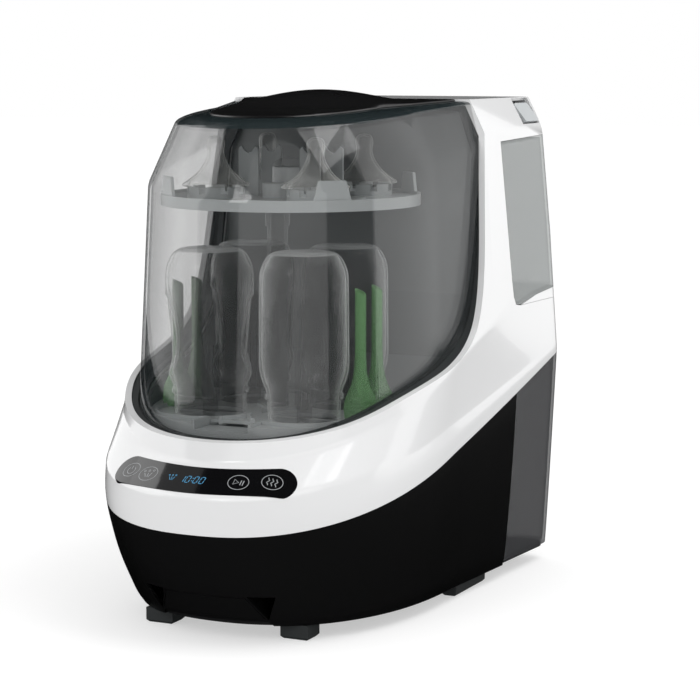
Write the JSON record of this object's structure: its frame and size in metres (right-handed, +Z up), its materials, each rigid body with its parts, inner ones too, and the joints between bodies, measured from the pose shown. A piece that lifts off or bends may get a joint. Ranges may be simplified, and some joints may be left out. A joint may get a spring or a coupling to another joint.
{
  "type": "baby bottle sterilizer",
  "caption": "Countertop baby bottle washer and sterilizer with clear lift-off lid, bottle and teat racks, rear water tanks and a front touch panel.",
  "frame": {"origin": "middle of the footprint on the floor, under the feet", "axes": "+Z up, -Y towards the control panel, +X to the viewer's right"},
  "size_m": [0.288, 0.421, 0.4191],
  "materials": {
    "white_shell": "gloss",
    "black_shell": "gloss",
    "panel_black": "gloss",
    "clear_tank": "translucent plastic",
    "smoke_tank": "smoked plastic",
    "lid_clear": "tinted clear plastic",
    "bottle_clear": "clear plastic",
    "silicone": "translucent silicone",
    "grey_inner": "satin",
    "rack_grey": "satin",
    "white_inner": "satin",
    "green_inner": "satin",
    "dark_plastic": "satin",
    "seal_black": "matte",
    "steel": "brushed",
    "cast": "cast",
    "board_green": "matte",
    "button_grey": "satin",
    "filter_pad": "pleated fibre"
  },
  "bodies": {
    "housing": {"base_shell": "black_shell", "base_plate": "dark_plastic", "housing_screws": "steel", "feet": "seal_black", "upper_housing": "white_shell", "control_lens": "panel_black", "display_module": "dark_plastic", "control_board": "board_green", "wash_chamber": "grey_inner", "rim_seal": "seal_black", "sump_filter": "steel", "heating_plate": "cast", "wash_pump": "dark_plastic", "drain_pump": "dark_plastic", "blower_housing": "dark_plastic", "air_duct": "white_inner", "power_board": "board_green", "power_inlet": "dark_plastic", "water_hoses": "silicone", "tank_dock": "white_inner"},
    "lid": {"lid_cover": "lid_clear", "lid_handle": "black_shell", "handle_clips": "steel"},
    "lower_rack_set": {"lower_rack": "rack_grey", "spray_post": "white_inner", "spray_manifold": "rack_grey", "bottle_nozzles": "white_inner", "side_nozzles": "green_inner", "bottle_1": "bottle_clear", "bottle_2": "bottle_clear", "bottle_3": "bottle_clear", "bottle_4": "bottle_clear"},
    "upper_rack_set": {"upper_rack": "rack_grey", "rack_hub": "white_inner", "teat_1": "silicone", "teat_2": "silicone", "teat_3": "silicone", "teat_4": "silicone"},
    "clean_tank_set": {"clean_tank": "clear_tank", "clean_tank_foot": "white_shell", "clean_tank_cap": "dark_plastic", "port_seal": "seal_black"},
    "waste_tank_set": {"waste_tank": "smoke_tank", "waste_tank_cap": "dark_plastic"},
    "drawer_set": {"filter_drawer": "black_shell", "filter_element": "filter_pad"},
    "release_button_left": {"release_button_left": "button_grey"},
    "release_button_right": {"release_button_right": "button_grey"},
    "wash_rotor": {"wash_impeller": "white_inner"},
    "blower_rotor": {"blower_wheel": "white_inner"}
  },
  "joints": [
    {"name": "lid_lift", "type": "slide", "parent": "housing", "child": "lid", "axis": [0, 0, 1], "range_m": [0, 0.24]},
    {"name": "lower_rack_lift", "type": "slide", "parent": "housing", "child": "lower_rack_set", "axis": [0, 0, 1], "range_m": [0, 0.004]},
    {"name": "upper_rack_lift", "type": "slide", "parent": "lower_rack_set", "child": "upper_rack_set", "axis": [0, 0, 1], "range_m": [0, 0.004]},
    {"name": "clean_tank_slide", "type": "slide", "parent": "housing", "child": "clean_tank_set", "axis": [0, 1, 0], "range_m": [0, 0.11]},
    {"name": "waste_tank_slide", "type": "slide", "parent": "housing", "child": "waste_tank_set", "axis": [0, 1, 0], "range_m": [0, 0.11]},
    {"name": "filter_drawer_slide", "type": "slide", "parent": "housing", "child": "drawer_set", "axis": [0, -1, 0], "range_m": [0, 0.045]},
    {"name": "left_button_press", "type": "slide", "parent": "housing", "child": "release_button_left", "axis": [0.8762, 0, -0.4819], "range_m": [0, 0.0022], "stiffness_N_per_m": 300},
    {"name": "right_button_press", "type": "slide", "parent": "housing", "child": "release_button_right", "axis": [-0.8762, 0, -0.4819], "range_m": [0, 0.0022], "stiffness_N_per_m": 300},
    {"name": "wash_pump_spin", "type": "hinge", "parent": "housing", "child": "wash_rotor", "pos_m": [-0.062, -0.0285, 0.084], "axis": [0, 0, 1], "continuous": true},
    {"name": "blower_spin", "type": "hinge", "parent": "housing", "child": "blower_rotor", "pos_m": [0.062, 0.0315, 0.045], "axis": [0, 0, 1], "continuous": true}
  ]
}
